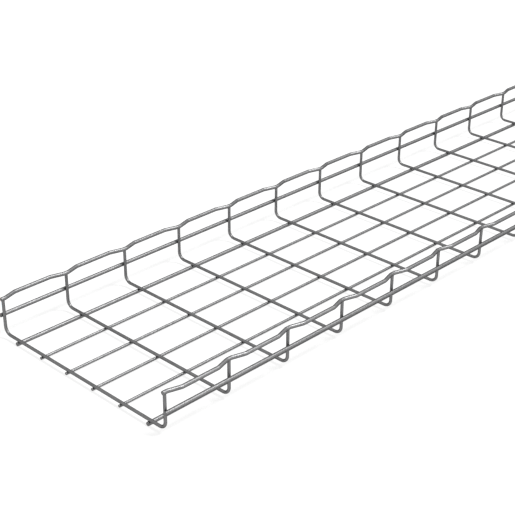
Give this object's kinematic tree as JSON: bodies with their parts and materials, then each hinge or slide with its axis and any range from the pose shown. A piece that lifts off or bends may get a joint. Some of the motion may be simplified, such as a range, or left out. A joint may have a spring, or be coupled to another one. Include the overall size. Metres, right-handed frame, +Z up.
{
  "type": "wire mesh cable tray",
  "caption": "Straight U-shaped cable tray of welded galvanised wire, with bent cross wires, floor and side wires, and waved edge wires.",
  "frame": {"origin": "middle of the footprint, on the surface the tray stands on", "axes": "+Y along the tray, +X across it, +Z up out of the open channel"},
  "size_m": [0.3204, 2.0072, 0.0592],
  "materials": {
    "zinc_wire": "zinc plated, satin"
  },
  "bodies": {
    "root": {"cross_wire_01": "zinc_wire", "cross_wire_02": "zinc_wire", "cross_wire_03": "zinc_wire", "cross_wire_04": "zinc_wire", "cross_wire_05": "zinc_wire", "cross_wire_06": "zinc_wire", "cross_wire_07": "zinc_wire", "cross_wire_08": "zinc_wire", "cross_wire_09": "zinc_wire", "cross_wire_10": "zinc_wire", "cross_wire_11": "zinc_wire", "cross_wire_12": "zinc_wire", "cross_wire_13": "zinc_wire", "cross_wire_14": "zinc_wire", "cross_wire_15": "zinc_wire", "cross_wire_16": "zinc_wire", "cross_wire_17": "zinc_wire", "cross_wire_18": "zinc_wire", "cross_wire_19": "zinc_wire", "cross_wire_20": "zinc_wire", "cross_wire_21": "zinc_wire", "floor_wire_1": "zinc_wire", "floor_wire_2": "zinc_wire", "floor_wire_3": "zinc_wire", "floor_wire_4": "zinc_wire", "floor_wire_5": "zinc_wire", "floor_wire_6": "zinc_wire", "side_wire_left": "zinc_wire", "side_wire_right": "zinc_wire", "edge_wire_left": "zinc_wire", "edge_wire_right": "zinc_wire"}
  },
  "joints": []
}
